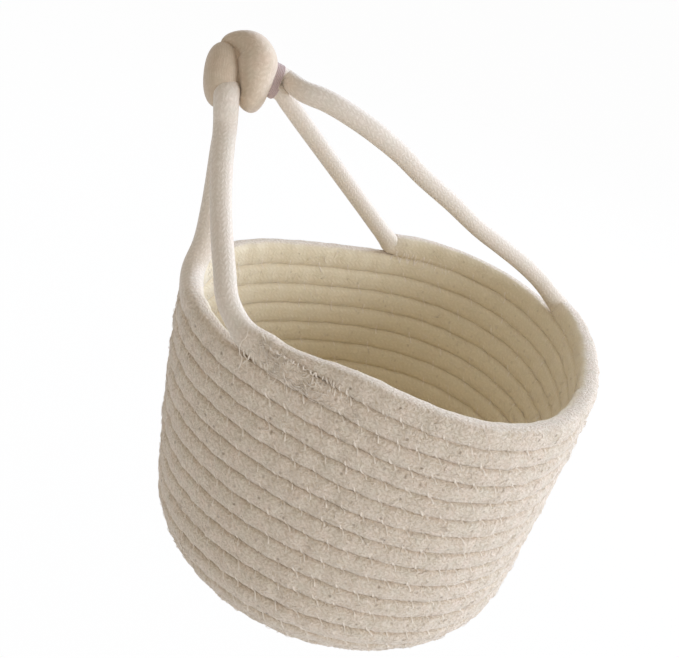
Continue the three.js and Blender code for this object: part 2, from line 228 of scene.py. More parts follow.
def unit(vectors):
    """The vectors, each brought to a length of 1."""
    return vectors / np.linalg.norm(vectors, axis=-1, keepdims=True)


# Settings

class RopeSettings(bpy.types.PropertyGroup):
    """The rope and how it is wound."""

    fullness: bpy.props.FloatProperty(
        name="Fullness", description="How squarely the turns press on each other, 2 for a round rope",
        default=3.3, min=2, max=4)
    press: bpy.props.FloatProperty(
        name="Press", description="How far the turns press into each other, 1 where they only touch",
        default=1.09, min=1, max=1.15)
    rib_length: bpy.props.FloatProperty(
        name="Rib length", description="Length of one rib of the braid along the rope",
        default=2 * MM, unit="LENGTH")
    ring_step: bpy.props.FloatProperty(
        name="Ring step", description="Distance between the mesh's rings along the rope",
        default=1 * MM, unit="LENGTH")
    sides: bpy.props.IntProperty(
        name="Sides", description="Mesh sides round the rope", default=20, min=8)
    crest_colour: bpy.props.FloatVectorProperty(
        name="Crest colour", description="Cotton on the braid's ribs", subtype="COLOR",
        default=linear("#FBF0E1"))
    # The valley colour is partly painted shade in the braid's hollows, partly the cotton's own tone
    valley_colour: bpy.props.FloatVectorProperty(
        name="Valley colour", description="Cotton between the braid's ribs", subtype="COLOR",
        default=linear("#D6C5AC"))


class StitchSettings(bpy.types.PropertyGroup):
    """The thread that sews each turn to the next, and the thread round the neck."""

    spacing: bpy.props.FloatProperty(
        name="Spacing", description="Distance between stitches along a groove",
        default=7.4 * MM, unit="LENGTH")
    thickness: bpy.props.FloatProperty(
        name="Thickness", description="Diameter of the sewing thread",
        default=0.58 * MM, unit="LENGTH")
    lean: bpy.props.FloatProperty(
        name="Lean", description="How far a stitch moves along the groove from top to foot",
        default=3.4 * MM, unit="LENGTH")
    dent: bpy.props.FloatProperty(
        name="Dent", description="How deep a stitch pulls into the rope",
        default=0.35 * MM, unit="LENGTH")
    fibre_count: bpy.props.IntProperty(
        name="Fibre count", description="Loose ends of fibre on the wall", default=6500, min=0)
    binding_thickness: bpy.props.FloatProperty(
        name="Binding thickness", description="Diameter of the thread round the neck",
        default=0.62 * MM, unit="LENGTH")
    thread_colour: bpy.props.FloatVectorProperty(
        name="Thread colour", description="Sewing thread", subtype="COLOR", default=linear("#F8EBD8"))
    binding_colour: bpy.props.FloatVectorProperty(
        name="Binding colour", description="Thread round the neck", subtype="COLOR",
        default=linear("#D6C0BA"))


# The wall's line and the winding

def wall_line_radius(height):
    """The wall's radius at the rope's centre, which narrows towards the foot."""
    below_rim = np.maximum(1 - height / WALL_HEIGHT, 0)
    return RIM_RADIUS - ROPE_HALF - FOOT_NARROWING * below_rim ** FOOT_CURVE


def corner_end_angle():
    """The angle, in radians, at which the foot's bend runs on into the wall's line."""
    bend = CORNER_RADIUS - ROPE_HALF
    settling_rounds = 12
    angle = math.pi / 2
    for _ in range(settling_rounds):
        height = BASE_CENTRE_HEIGHT + bend * (1 - math.cos(angle))
        below_rim = max(1 - height / WALL_HEIGHT, 0)
        slope = FOOT_NARROWING * FOOT_CURVE * below_rim ** (FOOT_CURVE - 1) / WALL_HEIGHT
        angle = math.pi / 2 - math.atan(slope)
    return angle


def profile_line():
    """Reach, radius and height of the rope's centre from the middle of the base to above the rim,
    and the radius of the flat part of the base."""
    bend_points, wall_points = 49, 121
    top = WALL_HEIGHT + 3 * TURN_PITCH
    bend = CORNER_RADIUS - ROPE_HALF
    end_angle = corner_end_angle()
    corner_top = BASE_CENTRE_HEIGHT + bend * (1 - math.cos(end_angle))
    flat_radius = float(wall_line_radius(corner_top)) - bend * math.sin(end_angle)
    angles = np.linspace(0, end_angle, bend_points)
    heights = np.linspace(corner_top, top, wall_points)[1:]
    radius = np.concatenate(([0], flat_radius + bend * np.sin(angles), wall_line_radius(heights)))
    height = np.concatenate(([BASE_CENTRE_HEIGHT], BASE_CENTRE_HEIGHT + bend * (1 - np.cos(angles)), heights))
    reach = np.concatenate(([0], np.cumsum(np.hypot(np.diff(radius), np.diff(height)))))
    return reach, radius, height, flat_radius


PROFILE_REACH, PROFILE_RADIUS, PROFILE_HEIGHT, FLAT_RADIUS = profile_line()
RIM_REACH = float(np.interp(WALL_HEIGHT, PROFILE_HEIGHT, PROFILE_REACH))


def wall_point(reach, azimuth):
    """Points on the rope's centre surface; towards the rim the soft wall has three blunt corners."""
    radius = np.interp(reach, PROFILE_REACH, PROFILE_RADIUS)
    height = np.interp(reach, PROFILE_REACH, PROFILE_HEIGHT)
    softness = np.clip((height - BASE_CENTRE_HEIGHT) / (WALL_HEIGHT - BASE_CENTRE_HEIGHT), 0, 1)
    oval = OVAL * np.cos(2 * np.radians(azimuth - OVAL_AZIMUTH))
    corners = THREE_CORNER * np.cos(3 * np.radians(azimuth - WALL_AZIMUTH))
    facing = np.maximum(np.cos(np.radians(azimuth - STRAND_PULL_AZIMUTH)), 0)
    pull = STRAND_PULL * softness ** 2 * facing ** STRAND_PULL_FOCUS
    soft_radius = radius * (1 + softness * (oval - corners)) - pull
    rise = WALL_SIDE_RISE * soft_radius / RIM_RADIUS
    x = soft_radius * np.cos(np.radians(azimuth)) + softness * OPENING_SHIFT
    y = soft_radius * np.sin(np.radians(azimuth)) + softness * OPENING_SHIFT
    z = height + softness * rise * np.cos(np.radians(azimuth - RISE_AZIMUTH))
    return np.stack((x, y, z), axis=-1)


def winding_reach(azimuth):
    """How far out and up the profile the winding has come at an azimuth."""
    return RIM_REACH + TOP_ROPE_HEIGHT + TURN_PITCH * (TOP_ROPE_AZIMUTH - azimuth) / TURN


def winding_radius(azimuth):
    """The profile's radius where the winding is at an azimuth."""
    return np.interp(winding_reach(azimuth), PROFILE_REACH, PROFILE_RADIUS)


COIL_START = COIL_END + (float(winding_reach(COIL_END)) - START_RADIUS) / TURN_PITCH * TURN
BASE_END = COIL_START - (FLAT_RADIUS - START_RADIUS) / TURN_PITCH * TURN


def tail_share(azimuth):
    """0 along the winding, rising to 1 at the top run's end."""
    return soft_step((TOP_END + TAIL_SPAN - azimuth) / TAIL_SPAN)


def winding_frame(azimuth):
    """Centre, outward and upward directions and half pitch of the rope at azimuths of the winding."""
    reach_step = 0.01 * TURN_PITCH
    azimuth_step = 0.5
    end_margin = 1
    reach = winding_reach(azimuth)
    centre = wall_point(reach, azimuth)
    upward = wall_point(reach + reach_step, azimuth) - wall_point(reach - reach_step, azimuth)
    half_pitch = np.linalg.norm(upward, axis=-1) / (2 * reach_step) * TURN_PITCH / 2
    along = wall_point(reach, azimuth - azimuth_step) - wall_point(reach, azimuth + azimuth_step)
    outward = unit(np.cross(upward, along))
    upward = unit(upward)
    tail = tail_share(azimuth)
    on_middle_run = azimuth < COIL_END - TURN / 2
    before_end = azimuth > MIDDLE_END - end_margin
    leaving = soft_step((MIDDLE_END + LEAVING_SPAN - azimuth) / LEAVING_SPAN) * before_end
    arriving = soft_step((azimuth - MIDDLE_START + ARRIVING_SPAN) / ARRIVING_SPAN)
    rise = (leaving * LEAVING_RISE + arriving * ARRIVING_RISE) * on_middle_run
    lift = rise / 2 - tail * TAIL_SINK
    walked = np.radians(azimuth) * RIM_RADIUS
    stray = sum(np.sin(2 * math.pi * walked / wave + phase) for wave, phase in WOBBLE_WAVES)
    stray = WOBBLE * stray * winding_radius(azimuth) / RIM_RADIUS
    centre = centre + upward * lift[..., None] + outward * (tail ** 2 * TAIL_PUSH + stray)[..., None]
    half_pitch = (half_pitch + rise / 2) * (1 - TAIL_THINNING * tail ** TAIL_THINNING_CURVE)
    return centre, outward, upward, half_pitch


def wander(length, amplitude, waves, seed):
    """A smooth, seeded stray along a rope, from sines of about the given wavelengths."""
    random = np.random.default_rng(seed)
    shortest, longest = 0.8, 1.25
    total = np.zeros_like(length)
    for wave in waves:
        wave_length = wave * random.uniform(shortest, longest)
        total += np.sin(2 * math.pi * (length / wave_length + random.uniform()))
    return amplitude * total / math.sqrt(len(waves))


def run_length(line):
    """The distance walked along a line at each of its points."""
    return np.concatenate(([0], np.cumsum(np.linalg.norm(np.diff(line, axis=0), axis=1))))


def evenly_spaced(line, step):
    """The same line with points about a step apart."""
    length = run_length(line)
    count = max(int(round(length[-1] / step)), 2)
    wanted = np.linspace(0, length[-1], count + 1)
    return np.stack([np.interp(wanted, length, line[:, k]) for k in range(3)], axis=-1)


def curve_through(points, step):
    """Evenly spaced points of a smooth centripetal curve, which runs through all of the points but
    the first and the last."""
    points = np.asarray(points)
    pieces_each = 24
    pieces = []
    for p0, p1, p2, p3 in zip(points, points[1:], points[2:], points[3:]):
        t1, t2, t3 = np.cumsum([np.linalg.norm(b - a) ** 0.5 for a, b in ((p0, p1), (p1, p2), (p2, p3))])
        t = np.linspace(t1, t2, pieces_each, endpoint=False)[:, None]
        a1 = (t1 - t) / t1 * p0 + t / t1 * p1
        a2 = (t2 - t) / (t2 - t1) * p1 + (t - t1) / (t2 - t1) * p2
        a3 = (t3 - t) / (t3 - t2) * p2 + (t - t2) / (t3 - t2) * p3
        b1 = (t2 - t) / t2 * a1 + t / t2 * a2
        b2 = (t3 - t) / (t3 - t1) * a2 + (t - t1) / (t3 - t1) * a3
        pieces.append((t2 - t) / (t2 - t1) * b1 + (t - t1) / (t2 - t1) * b2)
    return evenly_spaced(np.concatenate(pieces + [points[-2:-1]]), step)


class RopeRun:
    """One stretch of the rope: its line, its section at each station, its azimuths in the winding,
    which are nan on a strand, and the first and last station of the winding."""

    def __init__(self, line, outward, half_out, half_up, azimuth, squareness, first, last):
        self.line = line
        self.outward = outward
        self.half_out = half_out
        self.half_up = half_up
        self.azimuth = azimuth
        self.squareness = squareness
        self.first = first
        self.last = last
        self.length = run_length(line)


def winding_azimuths(start, end, step):
    """Azimuths about a step apart along the winding, from its start up to its end."""
    least_radius = 4 * MM
    azimuths = [start]
    while azimuths[-1] > end:
        radius = max(winding_radius(azimuths[-1]), least_radius)
        azimuths.append(azimuths[-1] - math.degrees(step / radius))
    azimuths = np.array(azimuths)
    return start + (azimuths - start) * (end - start) / (azimuths[-1] - start)


def strand_stations(points, halves):
    """A strand's line, half sizes, azimuths and squareness, as a run joins them to the winding's."""
    count = len(points)
    half = np.interp(np.linspace(0, len(halves) - 1, count), np.arange(len(halves)), halves)
    return points, half, half.copy(), np.full(count, np.nan), np.full(count, ROUND_SECTION)


def rope_run(lead_in, start, end, lead_out, halves_in, halves_out, settings, seed):
    """A strand in, a stretch of the winding and a strand out, as one unbroken rope."""
    step = settings.ring_step
    azimuth = winding_azimuths(start, end, step)
    centre, outward, upward, half_pitch = winding_frame(azimuth)
    swell = 1 + wander(run_length(centre), SWELL, SWELL_WAVES, seed)
    half_out = ROPE_HALF * swell * (1 - TAIL_FLATTENING * tail_share(azimuth))
    half_up = half_pitch * settings.press
    squareness = np.full(len(azimuth), settings.fullness)

    # Points of the winding a little way in steer the strand's curve onto the rim
    steer = max(int(STEER_REACH / step), 1)
    lines = [(centre, half_out, half_up, azimuth, squareness)]
    first = 0
    if len(lead_in):
        points = curve_through(np.vstack((lead_in, centre[:1], centre[steer:steer + 1])), step)[:-1]
        lines.insert(0, strand_stations(points, halves_in))
        first = len(points)
    last = first + len(centre) - 1
    if len(lead_out):
        points = curve_through(np.vstack((centre[-1 - steer:-steer], centre[-1:], lead_out)), step)[1:]
        lines.append(strand_stations(points, halves_out))
    line, half_out, half_up, azimuth, squareness = (np.concatenate(parts) for parts in zip(*lines))

    # The outward direction is carried along the strands without a twist
    directions = np.zeros_like(line)
    directions[first:last + 1] = outward
    tangent = unit(np.gradient(line, axis=0))
    for i in range(first - 1, -1, -1):
        directions[i] = directions[i + 1] - directions[i + 1].dot(tangent[i]) * tangent[i]
    for i in range(last + 1, len(line)):
        directions[i] = directions[i - 1] - directions[i - 1].dot(tangent[i]) * tangent[i]
    directions = unit(directions)

    # The section goes over smoothly from the pressed winding to the round strand
    ease = max(int(EASE_REACH / step), 1)
    joints = [first] * bool(len(lead_in)) + [last] * bool(len(lead_out))
    for values in (half_out, half_up, squareness):
        for joint in joints:
            near, far = max(joint - ease, 0), min(joint + ease, len(line) - 1)
            share = soft_step(np.linspace(0, 1, far - near + 1))
            values[near:far + 1] = values[near] + (values[far] - values[near]) * share
    return RopeRun(line, directions, half_out, half_up, azimuth, squareness, first, last)


# Stitches: their places along the grooves between the turns

def in_winding(azimuth):
    """Whether the winding has rope at an azimuth."""
    coil = (azimuth >= COIL_END) & (azimuth <= COIL_START)
    middle = (azimuth >= MIDDLE_END) & (azimuth <= MIDDLE_START)
    top = (azimuth >= TOP_END) & (azimuth <= TOP_START)
    return coil | middle | top


def stitch_azimuths(settings):
    """Azimuths, on the lower turn, of the stitches from the base to the rim."""
    random = np.random.default_rng(SPACING_SEED)
    closest, widest = 0.82, 1.18
    azimuths = []
    azimuth = COIL_START - UNSEWN_TURNS * TURN
    while azimuth > TOP_END + TURN:
        azimuths.append(azimuth)
        spacing = settings.spacing * random.uniform(closest, widest)
        azimuth -= math.degrees(spacing / winding_radius(azimuth))
    azimuths = np.array(azimuths)
    return azimuths[in_winding(azimuths) & in_winding(azimuths - TURN)][::-1]


def nearest_distance(values, places):
    """Distance from each value to the nearest of the sorted places."""
    index = np.clip(np.searchsorted(places, values), 1, len(places) - 1)
    return np.minimum(np.abs(values - places[index - 1]), np.abs(values - places[index]))


def ring_angles(sides):
    """Even steps round a section, in radians."""
    return 2 * math.pi * np.arange(sides) / sides


def section_shape(angle, squareness):
    """Shares of the half sizes, outward and upward, at angles round a rope's section."""
    out, up = np.cos(angle), np.sin(angle)
    reach = (np.abs(out) ** squareness + np.abs(up) ** squareness) ** (-1 / squareness)
    return reach * out, reach * up


def rope_surface(azimuth, angle, lift, squareness):
    """Points on the wound rope at section angles in degrees, 0 outward and 90 up the wall."""
    centre, outward, upward, half_pitch = winding_frame(azimuth)
    out_share, up_share = section_shape(np.radians(angle), squareness)
    out = (ROPE_HALF + lift) * out_share
    up = (half_pitch + lift) * up_share
    return centre + outward * out[..., None] + upward * up[..., None]


# Meshes

def grid_faces(rings, sides):
    """Faces between rings of points, closed round each ring."""
    ring, side = np.meshgrid(np.arange(rings - 1), np.arange(sides), indexing="ij")
    a = ring * sides + side
    b = ring * sides + (side + 1) % sides
    return np.stack((a, b, b + sides, a + sides), axis=-1).reshape(-1, 4)


def end_faces(rings, sides):
    """The two faces that close a tube of rings at its first and last ring."""
    return [list(range(sides))[::-1], list(range((rings - 1) * sides, rings * sides))]


def add_mesh(name, points, faces, material, body, node_names=()):
    """A smooth piece of mesh with its material, its body and the nodes it stands for."""
    mesh = bpy.data.meshes.new(name)
    mesh.from_pydata(points.reshape(-1, 3).tolist(), [], faces)
    mesh.validate()
    mesh.shade_smooth()
    piece = bpy.data.objects.new(name, mesh)
    bpy.context.collection.objects.link(piece)
    mesh.materials.append(material)
    if body:
        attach(piece, body)
    if node_names:
        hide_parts(*node_names)
    return piece


def cap_rings(last_ring, ring_before):
    """Rings that round off a rope's end, going out from its last ring."""
    middle = last_ring.mean(axis=0)
    heading = unit(middle - ring_before.mean(axis=0))
    size = np.linalg.norm(last_ring - middle, axis=1).mean()
    return np.stack([middle + (last_ring - middle) * math.cos(angle) + heading * size * math.sin(angle)
                     for angle in np.radians(CAP_ANGLES)])


def add_tube(name, rings, length, tucked, material, body, node_names=(), round_ends=(False, False)):
    """A closed tube of rings of points, with its place along and round the rope kept for the material."""
    if round_ends[0]:
        rings = np.concatenate((cap_rings(rings[0], rings[1])[::-1], rings))
    if round_ends[1]:
        rings = np.concatenate((rings, cap_rings(rings[-1], rings[-2])))
    extra = [len(CAP_ANGLES) * round_end for round_end in round_ends]
    length = np.pad(length, extra, "edge")
    tucked = np.pad(tucked, (extra, (0, 0)), "edge")
    count, sides = rings.shape[:2]
    faces = grid_faces(count, sides).tolist() + end_faces(count, sides)
    piece = add_mesh(name, rings, faces, material, body, node_names)
    for end in (-2, -1):
        piece.data.polygons[end].use_smooth = False
    ring, side = np.meshgrid(np.arange(count - 1), np.arange(sides), indexing="ij")
    corner_ring = np.stack((ring, ring, ring + 1, ring + 1), axis=-1).reshape(-1)
    corner_side = np.stack((side, side + 1, side + 1, side), axis=-1).reshape(-1)
    corner_tucked = tucked[corner_ring, corner_side % sides]
    values = np.stack((length[corner_ring], corner_side / sides, corner_tucked), axis=-1)
    last = np.zeros((2 * sides, 3))
    last[:sides, 0], last[sides:, 0] = length[0], length[-1]
    place = piece.data.attributes.new("rope_place", "FLOAT_VECTOR", "CORNER")
    place.data.foreach_set("vector", np.concatenate((values, last)).astype(np.float32).ravel())
    return piece


def rope_rings(run, settings, stitches, stitch_settings):
    """The rope's surface, drawn in where stitches cross it and flat on the ground under the base,
    and the state that its material reads."""
    dent_reach = 1.3 * MM
    dent_curve = 1.5
    dent_inward_limit = -0.5
    dent_flattening = 0.6
    ground_softness = 0.5 * MM
    ground_reach = 2 * MM
    tuck_start, tuck_span = 0.7, 0.3
    angle = ring_angles(settings.sides)
    facing_out, facing_up = np.cos(angle)[None, :], np.sin(angle)[None, :]
    tangent = unit(np.gradient(run.line, axis=0))
    upward = np.cross(tangent, run.outward)
    out_share, up_share = section_shape(angle[None, :], run.squareness[:, None])
    in_turn = ~np.isnan(run.azimuth)
    azimuth = np.where(in_turn, run.azimuth, 0)
    radius = np.linalg.norm(run.line[:, :2], axis=1)
    gap_above = np.radians(nearest_distance(azimuth, stitches)) * radius
    gap_below = np.radians(nearest_distance(azimuth + TURN, stitches)) * radius
    gap = np.where(facing_up > 0, gap_above[:, None], gap_below[:, None])
    beside = np.abs(facing_up) ** dent_curve * (facing_out > dent_inward_limit)
    depth = stitch_settings.dent * np.exp(-(gap / dent_reach) ** 2) * beside * in_turn[:, None]
    out = (run.half_out[:, None] - depth) * out_share
    up = (run.half_up[:, None] - dent_flattening * depth) * up_share
    rings = run.line[:, None] + run.outward[:, None] * out[..., None] + upward[:, None] * up[..., None]
    low = rings[..., 2] < ground_reach
    lifted = 0.5 * (rings[..., 2] + np.sqrt(rings[..., 2] ** 2 + ground_softness ** 2))
    rings[..., 2] = np.where(low, lifted, rings[..., 2])
    above = in_winding(azimuth - TURN) & in_turn
    below = in_winding(azimuth + TURN) & in_turn
    neighbour = np.where(facing_up > 0, above[:, None], below[:, None])
    sewn = (run.squareness - ROUND_SECTION) / (settings.fullness - ROUND_SECTION)
    sewn = np.clip(sewn, 0, 1)[:, None]
    # Tucked marks where a turn lies against its neighbour; the material paints shade there
    tucked = soft_step((np.abs(facing_up) - tuck_start) / tuck_span) * neighbour
    return rings, tucked * sewn + sewn - 1


# Materials

def add_node(tree, kind, inputs=(), **settings):
    """Adds a node with its settings. Inputs are given by name or in order: a socket, or a node for
    its first output, is linked, and any other value is set."""
    node = tree.nodes.new(kind)
    for name, value in settings.items():
        setattr(node, name, value)
    for name, value in inputs.items() if isinstance(inputs, dict) else enumerate(inputs):
        if isinstance(value, bpy.types.Node):
            value = value.outputs[0]
        if isinstance(value, bpy.types.NodeSocket):
            tree.links.new(value, node.inputs[name])
        else:
            node.inputs[name].default_value = value
    return node


def empty_material(name):
    """The material of that name, made if need be, with no nodes in it."""
    material = bpy.data.materials.get(name) or bpy.data.materials.new(name)
    material.use_nodes = True
    material.node_tree.nodes.clear()
    return material, material.node_tree


def braided_cotton_material(settings):
    """Undyed cotton rope, machine braided: slanted ribs in columns, clear on the strands and worn to a curly
    nap on the sewn wall, with painted shade where turns meet and where a needle went through."""
    material, tree = empty_material("undyed_cotton_braided")
    maths = "ShaderNodeMath"
    columns_round = 16
    yarn_stray = 2.6 * MM
    nap_curl = 1.25 * MM
    patch_size = 5 * MM
    hole_spacing = 7 * MM
    hole_middle = 0.15 * MM
    hole_edge = 0.75 * MM
    half_round = 12 * MM
    relief_depth = 0.35 * MM

    # The third number is -2 on the knot, -1 on a free strand, 0 on a sewn turn, 1 where turns meet
    place = add_node(tree, "ShaderNodeAttribute", attribute_name="rope_place")
    parts = add_node(tree, "ShaderNodeSeparateXYZ", (place.outputs["Vector"],))
    along, around, state = parts.outputs
    tucked = add_node(tree, maths, (state, 0), operation="MAXIMUM")
    sewn = add_node(tree, maths, (state, 1), operation="ADD", use_clamp=True)
    knotted = add_node(tree, maths, (-1, state), operation="SUBTRACT", use_clamp=True)
    free = add_node(tree, maths, (1, sewn), operation="SUBTRACT")
    free = add_node(tree, maths, (free, knotted), operation="SUBTRACT")
    spot = add_node(tree, "ShaderNodeTexCoord").outputs["Object"]

    # Slanted ribs, their slant turned over from column to column; the yarns wander a little
    drift = add_node(tree, "ShaderNodeTexNoise", {"Vector": spot, "Scale": 1 / yarn_stray, "Detail": 3})
    drift = add_node(tree, maths, (drift.outputs["Fac"], 0.5), operation="SUBTRACT")
    column = add_node(tree, maths, (around, columns_round), operation="MULTIPLY")
    column = add_node(tree, maths, (drift, 2.2, column), operation="MULTIPLY_ADD")
    share = add_node(tree, maths, (column,), operation="FRACT")
    side = add_node(tree, maths, (column,), operation="FLOOR")
    side = add_node(tree, maths, (side, 2), operation="FLOORED_MODULO")
    side = add_node(tree, maths, (side, 2, -1), operation="MULTIPLY_ADD")
    slant = add_node(tree, maths, (share, 0.5), operation="SUBTRACT")
    slant = add_node(tree, maths, (slant, side), operation="MULTIPLY")
    rib = add_node(tree, maths, (along, settings.rib_length), operation="DIVIDE")
    rib = add_node(tree, maths, (drift, 1.6, rib), operation="MULTIPLY_ADD")
    rib = add_node(tree, maths, (slant, 0.8, rib), operation="MULTIPLY_ADD")
    rib = add_node(tree, maths, (rib, 2 * math.pi), operation="MULTIPLY")
    rib = add_node(tree, maths, (rib,), operation="SINE")
    rib = add_node(tree, maths, (rib, 0.5, 0.5), operation="MULTIPLY_ADD")
    hump = add_node(tree, maths, (share, math.pi), operation="MULTIPLY")
    hump = add_node(tree, maths, (hump,), operation="SINE")
    braid = add_node(tree, maths, (rib, hump), operation="MULTIPLY")

    # The nap is a noise drawn out into curls
    nap = add_node(tree, "ShaderNodeTexNoise", {
        "Vector": spot, "Scale": 1 / nap_curl, "Detail": 3, "Roughness": 0.6, "Distortion": 2.5})
    nap = add_node(tree, "ShaderNodeMapRange", {
        "Value": nap.outputs["Fac"], "From Min": 0.32, "From Max": 0.68})

    # The half of a sewn turn that faces into the basket is smoother and painted with warm light
    inner = add_node(tree, maths, (around, 0.5), operation="SUBTRACT")
    inner = add_node(tree, maths, (inner,), operation="ABSOLUTE")
    inner = add_node(tree, "ShaderNodeMapRange", {
        "Value": inner, "From Min": 0.13, "From Max": 0.22, "To Min": 1, "To Max": 0},
        interpolation_type="SMOOTHSTEP")
    inner = add_node(tree, maths, (inner, sewn), operation="MULTIPLY")
    outer = add_node(tree, maths, (sewn, inner), operation="SUBTRACT")

    # The outer face has more of both braid and nap, and the tightened knot has less braid. The
    # smoother faces are raised, so that they come out as pale
    braid_share = add_node(tree, maths, (outer, 0.14, 0.35), operation="MULTIPLY_ADD")
    braid_share = add_node(tree, maths, (knotted, -0.15, braid_share), operation="MULTIPLY_ADD")
    nap_share = add_node(tree, maths, (outer, 0.62, 0.16), operation="MULTIPLY_ADD")
    level = add_node(tree, maths, (outer, -0.22, 0.22), operation="MULTIPLY_ADD")
    relief = add_node(tree, maths, (braid, braid_share), operation="MULTIPLY")
    relief = add_node(tree, maths, (nap, nap_share, relief), operation="MULTIPLY_ADD")
    relief = add_node(tree, maths, (relief, level), operation="ADD")

    # Needle holes stand here and there near the middle of a sewn turn's outer and inner face
    hole_along = add_node(tree, maths, (along, hole_spacing), operation="DIVIDE")
    holes = add_node(tree, "ShaderNodeTexVoronoi", {"W": hole_along, "Scale": 1}, voronoi_dimensions="1D")
    chances = add_node(tree, "ShaderNodeSeparateXYZ", (holes.outputs["Color"],))
    place_chance, hole_chance, depth_chance = chances.outputs
    aside = add_node(tree, maths, (place_chance, 0.3, -0.15), operation="MULTIPLY_ADD")
    across = add_node(tree, maths, (around, 2, 0.5), operation="MULTIPLY_ADD")
    across = add_node(tree, maths, (across,), operation="FRACT")
    across = add_node(tree, maths, (across, 0.5), operation="SUBTRACT")
    across = add_node(tree, maths, (across, aside), operation="ADD")
    across = add_node(tree, maths, (across, half_round), operation="MULTIPLY")
    across = add_node(tree, maths, (across, across), operation="MULTIPLY")
    away = add_node(tree, maths, (holes.outputs["Distance"], hole_spacing), operation="MULTIPLY")
    away = add_node(tree, maths, (away, away, across), operation="MULTIPLY_ADD")
    away = add_node(tree, maths, (away,), operation="SQRT")
    hole = add_node(tree, "ShaderNodeMapRange", {
        "Value": away, "From Min": hole_middle, "From Max": hole_edge, "To Min": 1, "To Max": 0},
        interpolation_type="SMOOTHSTEP")
    pierced = add_node(tree, maths, (hole_chance, 0.3), operation="GREATER_THAN")
    pierced = add_node(tree, maths, (pierced, sewn), operation="MULTIPLY")
    pierced = add_node(tree, maths, (pierced, depth_chance), operation="MULTIPLY")
    hole = add_node(tree, maths, (hole, pierced), operation="MULTIPLY")
    # The inner face closes round its holes, so that they are fainter there
    openness = add_node(tree, maths, (outer, 0.65, 0.35), operation="MULTIPLY_ADD")
    hole = add_node(tree, maths, (hole, openness), operation="MULTIPLY")
    height = add_node(tree, maths, (hole, -0.9, relief), operation="MULTIPLY_ADD")
    bump = add_node(tree, "ShaderNodeBump", {"Strength": 0.8, "Distance": relief_depth, "Height": height})

    # The paler ribs and darker gaps are partly painted shade in the hollows, partly the cotton's own tone
    # Colour: ribs paler than the gaps, and a slow drift from cool to warm
    tone = add_node(tree, "ShaderNodeMapRange", {"Value": relief, "From Min": 0.05, "From Max": 0.75})
    colour = add_node(tree, "ShaderNodeMix", {
        "Factor": tone, "A": (*settings.valley_colour, 1), "B": (*settings.crest_colour, 1)},
        data_type="RGBA").outputs["Result"]
    patches = add_node(tree, "ShaderNodeTexNoise", {
        "Vector": spot, "Scale": 1 / patch_size, "Detail": 3, "Roughness": 0.6})
    patch_tint = add_node(tree, "ShaderNodeMix", {
        "Factor": patches.outputs["Fac"], "A": (*linear("#F1F3EA"), 1), "B": (*linear("#FFF4EE"), 1)},
        data_type="RGBA").outputs["Result"]
    colour = add_node(tree, "ShaderNodeMix", {
        "Factor": 1, "A": colour, "B": patch_tint},
        data_type="RGBA", blend_type="MULTIPLY").outputs["Result"]

    # Over that, painted light inside and on the strands, painted shade on knot, grooves and holes
    # Painted light: the inside is mixed towards a pale yellow, for the warm light bounced inside the basket
    painted_inner_glow = add_node(tree, maths, (inner, 0.6), operation="MULTIPLY")
    # Painted light: the free strands are mixed towards a paler, cooler colour, for the brighter light they
    # catch
    painted_strand_light = add_node(tree, maths, (free, 0.3), operation="MULTIPLY")
    # Painted shade: where a turn lies against its neighbour it is mixed towards a darker brown, less inside
    painted_groove_shade = add_node(tree, maths, (inner, -0.2, 0.35), operation="MULTIPLY_ADD")
    painted_groove_shade = add_node(tree, maths, (tucked, painted_groove_shade), operation="MULTIPLY")
    # Painted shade: needle holes are mixed towards a dark brown
    painted_hole_shade = add_node(tree, maths, (hole, 0.7), operation="MULTIPLY")
    # Painted shade: the knot's colour is multiplied darker, for the dimmer light that falls on it
    for strength, tint, blending in (
            (painted_inner_glow, "#EDE1BF", "MIX"), (painted_strand_light, "#F5F2EC", "MIX"), (knotted, "#EEEAE6", "MULTIPLY"),
            (painted_groove_shade, "#B59F80", "MIX"), (painted_hole_shade, "#8F7556", "MIX")):
        colour = add_node(tree, "ShaderNodeMix", {
            "Factor": strength, "A": colour, "B": (*linear(tint), 1)},
            data_type="RGBA", blend_type=blending).outputs["Result"]
    surface = add_node(tree, "ShaderNodeBsdfPrincipled", {
        "Base Color": colour, "Roughness": 0.9, "IOR": 1.5, "Specular IOR Level": 0.2,
        "Sheen Weight": 0.4, "Sheen Roughness": 0.5, "Normal": bump})
    add_node(tree, "ShaderNodeOutputMaterial", {"Surface": surface})
    return material


def twisted_thread_material(name, colour, shade):
    """Cotton thread, twisted and a little waxed: fine slanted plies with a soft gloss. The shade is how
    bright the gaps between plies stay under their painted shade."""
    material, tree = empty_material(name)
    ply = 0.5 * MM
    ply_depth = 0.08 * MM
    spot = add_node(tree, "ShaderNodeTexCoord").outputs["Object"]
    plies = add_node(tree, "ShaderNodeTexWave", {"Vector": spot, "Scale": 1 / ply, "Distortion": 1},
                     wave_type="BANDS", bands_direction="DIAGONAL").outputs["Fac"]
    painted_gap_shade = [shade * c for c in colour]
    tone = add_node(tree, "ShaderNodeMix", {"Factor": plies, "A": (*painted_gap_shade, 1), "B": (*colour, 1)},
                    data_type="RGBA")
    bump = add_node(tree, "ShaderNodeBump", {"Strength": 0.4, "Distance": ply_depth, "Height": plies})
    surface = add_node(tree, "ShaderNodeBsdfPrincipled", {
        "Base Color": tone.outputs["Result"], "Roughness": 0.75, "IOR": 1.5, "Sheen Weight": 0.2,
        "Normal": bump})
    add_node(tree, "ShaderNodeOutputMaterial", {"Surface": surface})
    return material


